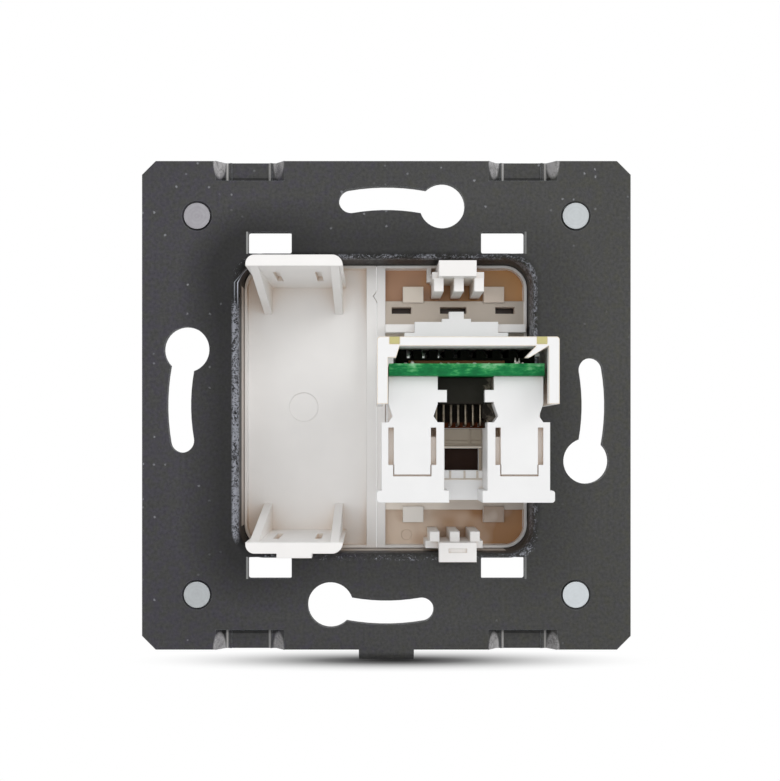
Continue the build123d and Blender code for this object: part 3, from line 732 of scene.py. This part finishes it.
# The second colour of each moulded plastic is its painted shade in deep corners
finishes = {
    "plate_paint": powder_coated_steel(),
    "rivet_steel": turned_steel(),
    "module_plastic": moulded_plastic("moulded_white_abs", "f8f6f4", "ecd6c0", 0.43, 6.0, 12.0),
    "jack_plastic": moulded_plastic("moulded_white_polycarbonate", "f2f2f2", "dfcab4", 0.4, 5.0, 3.5),
    "lug_plastic": moulded_plastic("moulded_olive_nylon", "c6be80", "8d8348", 0.4, 0.8, 1.0),
    # The black is set darker than the plastic's own, as painted shade
    "dark_plastic": moulded_plastic("moulded_black_polyamide", "0c0e09", "060604", 0.65, 1.5, 2.0, 0.03),
    "board_laminate": glass_fibre_board(),
    # The tinned forks are painted dark, as shade under the cap
    "contact_tin": plated_metal("tin_plated_bronze", "4c4a45", "686660", 0.42, 0.55),
    "contact_bronze": plated_metal("plated_spring_bronze", "8d8373", "b7ac98", 0.28, 0.4),
}

# The port module is the same ABS, with painted shade at the back of its deck and in its
# recesses: the posts, the deck, the recesses and the slots, each above and below
port_plastic = moulded_plastic(
    "moulded_white_abs_painted_shade",
    "f8f6f4",
    "ecdac9",
    0.43,
    6.0,
    4.0,
    shaded_spans=(
        ((6.58, 6.62), (15.0, half_inside), "e8ddcf", "dbccbd"),
        ((6.58, 6.62), (-half_inside, -15.0), "fbf6ef", "b09b8a"),
        ((7.0, 7.2), (10.0, half_inside), "c8bcae", "c2b7aa"),
        ((7.0, 7.2), (-half_inside, -10.0), "f8eee2", "d0c4b8"),
        ((8.3, 8.9), (15.5, half_inside), "bd9170", "cb975e"),
        ((8.3, 8.9), (-half_inside, -15.5), "f0dcc8", "b48353"),
        ((8.9, 10.0), (12.0, half_inside), "3a2518", "331d10"),
        ((8.9, 10.0), (-half_inside, -12.0), "3a2518", "331d10"),
    ),
)

# Solder on the board is brighter than the tinned forks, which are painted dark for the shade under the cap
solder = plated_metal("tin_solder", "a8a69e", "cfcdc6", 0.3, 0.42)

# The cap is the jack's polycarbonate, with a creamy line along its edges
cap_plastic = moulded_plastic(
    "moulded_white_polycarbonate_worn_edges",
    "f3f3f3",
    "e6d6c6",
    0.4,
    5.0,
    3.0,
    edge_tint="e9d3b0",
)

# Thin parts round the contacts, painted grey and buff for the shade they lie in
guide_plastic = moulded_plastic("moulded_abs_grey_painted_shade", "9a8e7d", "6e6150", 0.45, 2.0, 1.5)
ledge_plastic = moulded_plastic("moulded_abs_buff_painted_shade", "d6ccc0", "a2937f", 0.45, 2.0, 1.5)
strip_plastic = moulded_plastic("moulded_brown_phenolic", "5e3d1e", "2a190c", 0.5, 1.5, 2.0, 0.2)


def smoked_carrier():
    """Glass filled nylon, nearly black at the top, with a painted band of brown light along its
    lower edge, and greyish weld lines towards the ear."""
    material, tree, place, shader = new_material("moulded_smoked_nylon")
    axes = add_node(tree, "ShaderNodeSeparateXYZ", {"Vector": place})
    level = add_node(
        tree,
        "ShaderNodeMapRange",
        {"Value": axes.outputs["Z"], "From Min": -10 * MM, "From Max": 4 * MM},
    )
    # Painted light: a brown band across the lower part, between the darker tones
    depth_tone = add_node(
        tree,
        "ShaderNodeValToRGB",
        {"Fac": level.outputs["Result"]},
        stops=[
            (0.0, "26150b"),
            (0.4, "26150b"),
            (0.45, "7a3d18"),
            (0.515, "6b3515"),
            (0.535, "1a120b"),
            (0.75, "1c1b15"),
        ],
    )
    weld = add_node(
        tree,
        "ShaderNodeTexNoise",
        {"Vector": place, "Scale": grain(1.3), "Detail": 4.0, "Roughness": 0.7, "Distortion": 1.0},
    )
    to_ear = add_node(
        tree,
        "ShaderNodeMapRange",
        {
            "Value": axes.outputs["X"],
            "From Min": 12.2 * MM,
            "From Max": 13.5 * MM,
            "To Min": -0.3,
            "To Max": 0.1,
        },
    )
    grey = add_node(
        tree,
        "ShaderNodeMath",
        {0: weld.outputs["Fac"], 1: to_ear.outputs["Result"]},
        operation="ADD",
    )
    grey_share = add_node(
        tree,
        "ShaderNodeMapRange",
        {"Value": grey.outputs["Value"], "From Min": 0.47, "From Max": 0.66, "To Min": 0.0, "To Max": 0.8},
    )
    colour = add_node(
        tree,
        "ShaderNodeMix",
        {"Factor": grey_share.outputs["Result"], "A": depth_tone.outputs["Color"], "B": srgb("6e675c")},
        data_type="RGBA",
    )
    tree.links.new(colour.outputs["Result"], shader.inputs["Base Color"])
    rough = add_node(
        tree,
        "ShaderNodeMapRange",
        {"Value": weld.outputs["Fac"], "From Min": 0.3, "From Max": 0.7, "To Min": 0.5, "To Max": 0.65},
    )
    tree.links.new(rough.outputs["Result"], shader.inputs["Roughness"])
    shader.inputs["Specular IOR Level"].default_value = 0.12
    finish_surface(tree, shader, weld.outputs["Fac"], 0.2, 0.05, 0.12)
    return material


for row in frame["record"]["subparts"]:
    mesh = frame["nodes"][row["node"]].data
    mesh.materials.clear()
    mesh.materials.append(finishes[row["material_slot"]])
for node, finish in (
    ("port_module", port_plastic),
    ("jack_cap", cap_plastic),
    ("contact_carrier", smoked_carrier()),
):
    frame["nodes"][node].data.materials[0] = finish


def piece_from(shape, name, material, smooth=True):
    """Turns a finished bmesh into an object that rides with the part."""
    mesh = bpy.data.meshes.new(name)
    shape.to_mesh(mesh)
    shape.free()
    for face in mesh.polygons:
        face.use_smooth = smooth
    piece = bpy.data.objects.new(name, mesh)
    bpy.context.scene.collection.objects.link(piece)
    mesh.materials.append(material)
    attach(piece, "root")
    return piece


def solder_joints():
    """Small domes of solder along the rear edge of the board's upper side, and the cut ends of
    two leads."""
    board_low, board_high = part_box("circuit_board")
    spots = (
        (2.3, 0.3, 0.16),
        (3.15, 0.3, 0.36),
        (6.9, 0.24, 0.14),
        (7.9, 0.2, 0.12),
        (9.1, 0.26, 0.14),
        (11.3, 0.28, 0.16),
        (13.2, 0.2, 0.12),
        (16.85, 0.42, 0.3),
        (17.6, 0.2, 0.2),
    )
    sunk = board_high.z - 0.05 * MM
    shape = bmesh.new()
    for across, radius, height in spots:
        centre = Vector((across * MM, board_low.y + 0.42 * MM, board_high.z))
        size = Matrix.Diagonal((radius * MM, min(radius, 0.36) * MM, height * MM, 1.0))
        dome = bmesh.ops.create_uvsphere(
            shape,
            u_segments=14,
            v_segments=8,
            radius=1.0,
            matrix=Matrix.Translation(centre) @ size,
        )
        for vertex in dome["verts"]:
            vertex.co.z = max(vertex.co.z, sunk)
    for across, height in ((16.62, 0.82), (17.12, 0.74)):
        middle = Vector((across * MM, board_low.y + 0.42 * MM, sunk + height / 2 * MM))
        bmesh.ops.create_cone(
            shape,
            cap_ends=True,
            segments=12,
            radius1=0.2 * MM,
            radius2=0.07 * MM,
            depth=height * MM,
            matrix=Matrix.Translation(middle),
        )
    bmesh.ops.remove_doubles(shape, verts=shape.verts, dist=0.002 * MM)
    return piece_from(shape, "solder_joints", solder)


def along_x(shape, outline, low_x, high_x):
    """Runs an outline of (Y, Z) points in millimetres across from one X to another."""
    corners = [shape.verts.new((low_x * MM, y * MM, z * MM)) for y, z in outline]
    end_face = shape.faces.new(corners)
    run = bmesh.ops.extrude_face_region(shape, geom=[end_face], use_keep_orig=True)
    moved = [item for item in run["geom"] if isinstance(item, bmesh.types.BMVert)]
    bmesh.ops.translate(shape, vec=((high_x - low_x) * MM, 0, 0), verts=moved)


def softened(shape, width):
    """Rounds every edge of an open mesh over this width in millimetres."""
    bmesh.ops.recalc_face_normals(shape, faces=shape.faces[:])
    bmesh.ops.bevel(
        shape,
        geom=shape.edges[:],
        offset=width * MM,
        offset_type="OFFSET",
        segments=2,
        profile=0.5,
        affect="EDGES",
        material=-1,
        clamp_overlap=True,
    )


# The wall between the towers: its rear face, and the space across it
wall_rear = -8.0
wall_left = 7.5
wall_right = 13.0


def wire_guide():
    """Guide on the wall below the contact wires, painted grey for the shade it lies in: two fine
    grooves across it, an upright bead, and a strip down beside the window."""
    shape = bmesh.new()
    profile = (
        (wall_rear + 0.05, -3.45),
        (-8.2, -3.5),
        (-8.2, -4.98),
        (-8.12, -5.03),
        (-8.12, -5.1),
        (-8.2, -5.15),
        (-8.2, -5.5),
        (-8.13, -5.54),
        (-8.13, -5.62),
        (-8.2, -5.66),
        (-8.2, -5.86),
        (wall_rear + 0.05, -5.86),
    )
    along_x(shape, profile, wall_left, wall_right)
    bead = ((wall_rear + 0.05, -3.6), (-8.27, -3.65), (-8.27, -5.6), (wall_rear + 0.05, -5.65))
    along_x(shape, bead, 11.25, 11.5)
    strip = ((wall_rear + 0.05, -5.8), (-8.2, -5.84), (-8.2, -9.2), (wall_rear + 0.05, -9.24))
    along_x(shape, strip, 12.62, wall_right)
    softened(shape, 0.025)
    return piece_from(shape, "wire_guide", guide_plastic, smooth=False)


def window_ledge():
    """Ledge over the window, painted buff for its shade, with a bar and three short uprights below it."""
    shape = bmesh.new()
    ledge = (
        (wall_rear + 0.05, -5.86),
        (-8.4, -5.9),
        (-8.42, -6.08),
        (-8.34, -6.16),
        (wall_rear + 0.05, -6.18),
    )
    along_x(shape, ledge, wall_left, wall_right)
    bar = ((wall_rear + 0.05, -10.3), (-8.14, -10.33), (-8.14, -10.5), (wall_rear + 0.05, -10.53))
    along_x(shape, bar, wall_left, wall_right)
    upright = ((wall_rear + 0.05, -9.26), (-8.1, -9.3), (-8.1, -10.35), (wall_rear + 0.05, -10.4))
    for middle in (8.7, 10.65, 12.4):
        along_x(shape, upright, middle - 0.13, middle + 0.13)
    softened(shape, 0.025)
    return piece_from(shape, "window_ledge", ledge_plastic, smooth=False)


def terminal_strip():
    """Brown strip along the foot of the terminal block, on the board."""
    board_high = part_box("circuit_board")[1]
    block_low, block_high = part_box("terminal_block")
    rear = block_low.y / MM
    foot = board_high.z / MM
    shape = bmesh.new()
    profile = (
        (rear - 0.9, foot + 0.01),
        (rear - 0.95, foot + 0.1),
        (rear - 0.9, foot + 0.42),
        (rear - 0.8, foot + 0.5),
        (rear - 0.01, foot + 0.5),
        (rear - 0.01, foot + 0.01),
    )
    along_x(shape, profile, 2.7, 15.4)
    softened(shape, 0.04)
    return piece_from(shape, "terminal_strip", strip_plastic, smooth=False)


solder_joints()
wire_guide()
window_ledge()
terminal_strip()


# Floor, camera, world and lights
floor_z = cad_box[0].z
floor_half = 1.2
floor_shape = bmesh.new()
bmesh.ops.create_grid(floor_shape, x_segments=1, y_segments=1, size=floor_half)
floor_mesh = bpy.data.meshes.new("floor")
floor_shape.to_mesh(floor_mesh)
floor_shape.free()
floor_mesh.transform(Matrix.Translation((0, 0, floor_z)))
floor = bpy.data.objects.new("floor", floor_mesh)
bpy.context.scene.collection.objects.link(floor)


def white_for_the_lens(tree):
    """1 for camera, glossy and transmission rays, 0 for the rest."""
    path = add_node(tree, "ShaderNodeLightPath")
    gloss = add_node(
        tree,
        "ShaderNodeMath",
        {0: path.outputs["Is Camera Ray"], 1: path.outputs["Is Glossy Ray"]},
        operation="MAXIMUM",
    )
    return add_node(
        tree,
        "ShaderNodeMath",
        {0: gloss.outputs["Value"], 1: path.outputs["Is Transmission Ray"]},
        operation="MAXIMUM",
    ).outputs["Value"]


def studio_floor():
    """Matt white paper that turns to the white of the backdrop away from the object, over an
    oval, with its real shadow deepened by a painted shadow under the object, for camera rays."""
    material = bpy.data.materials.new("matt_white_paper")
    material.use_nodes = True
    tree = material.node_tree
    tree.nodes.clear()
    place = add_node(tree, "ShaderNodeTexCoord").outputs["Object"]
    half_width = 40
    half_depth = 9
    to_right = 1.1
    scaled = add_node(
        tree,
        "ShaderNodeMapping",
        {
            "Vector": place,
            "Location": (-to_right / half_width, 0.0, 0.0),
            "Scale": (1 / (half_width * MM), 1 / (half_depth * MM), 0.0),
        },
    )
    away = add_node(tree, "ShaderNodeVectorMath", {0: scaled.outputs["Vector"]}, operation="LENGTH")
    # Painted shadow: the paper darkens towards the middle of the oval, for camera rays only
    near = add_node(
        tree,
        "ShaderNodeMapRange",
        {"Value": away.outputs["Value"], "From Min": 1.0, "From Max": 0.25},
    )
    path = add_node(tree, "ShaderNodeLightPath")
    darkened = add_node(
        tree,
        "ShaderNodeMath",
        {0: near.outputs["Result"], 1: path.outputs["Is Camera Ray"]},
        operation="MULTIPLY",
    )
    paper = add_node(
        tree,
        "ShaderNodeMix",
        {"Factor": darkened.outputs["Value"], "A": srgb("ffffff"), "B": srgb("484848")},
        data_type="RGBA",
    )
    diffuse = add_node(tree, "ShaderNodeBsdfDiffuse", {"Color": paper.outputs["Result"]})
    glow = add_node(tree, "ShaderNodeEmission", {"Color": srgb("ffffff"), "Strength": 1.0})
    share = add_node(
        tree,
        "ShaderNodeMapRange",
        {"Value": away.outputs["Value"]},
        interpolation_type="SMOOTHSTEP",
    )
    seen = add_node(
        tree,
        "ShaderNodeMath",
        {0: share.outputs["Result"], 1: white_for_the_lens(tree)},
        operation="MULTIPLY",
    )
    mixed = add_node(
        tree,
        "ShaderNodeMixShader",
        {0: seen.outputs["Value"], 1: diffuse.outputs[0], 2: glow.outputs[0]},
    )
    output = add_node(tree, "ShaderNodeOutputMaterial")
    tree.links.new(mixed.outputs[0], output.inputs["Surface"])
    return material


floor_mesh.materials.append(studio_floor())

world = bpy.data.worlds.new("studio")
world.use_nodes = True
world_tree = world.node_tree
world_tree.nodes.clear()
backdrop = add_node(world_tree, "ShaderNodeBackground", {"Color": srgb("ffffff"), "Strength": 1.0})
fill = add_node(world_tree, "ShaderNodeBackground", {"Color": srgb("ffffff"), "Strength": 0.70})
surround = add_node(
    world_tree,
    "ShaderNodeMixShader",
    {0: white_for_the_lens(world_tree), 1: fill.outputs[0], 2: backdrop.outputs[0]},
)
world_output = add_node(world_tree, "ShaderNodeOutputWorld")
world_tree.links.new(surround.outputs[0], world_output.inputs["Surface"])
bpy.context.scene.world = world


def soft_light(name, place, size, power, aim=(0.0, 0.0, 0.0)):
    """Square area light at a place in metres, turned to an aim point."""
    data = bpy.data.lights.new(name, "AREA")
    data.shape = "SQUARE"
    data.size = size
    data.energy = power
    lamp = bpy.data.objects.new(name, data)
    bpy.context.scene.collection.objects.link(lamp)
    lamp.location = place
    lamp.rotation_euler = (Vector(aim) - Vector(place)).to_track_quat("-Z", "Y").to_euler()
    return lamp


soft_light("key_right", (0.62, -0.55, 0.40), 0.45, 1.7)
soft_light("fill_left", (-0.62, -0.60, 0.12), 0.5, 0.6)
soft_light("front_soft", (0.0, -1.2, 0.02), 1.2, 2.8)

camera_data = bpy.data.cameras.new("camera")
camera_data.sensor_fit = "HORIZONTAL"
camera_data.sensor_width = 36.0
camera_data.lens = 50.88
camera_data.shift_x = 0.0256
camera_data.shift_y = 0.0635
camera_data.clip_start = 0.01
camera_data.clip_end = 20.0
camera = bpy.data.objects.new("camera", camera_data)
bpy.context.scene.collection.objects.link(camera)
camera.location = (-2.37 * MM, -160.0 * MM, -5.04 * MM)
camera.rotation_euler = (math.pi / 2, 0.0, 0.0)
bpy.context.scene.camera = camera

bpy.context.scene.view_settings.view_transform = "Standard"
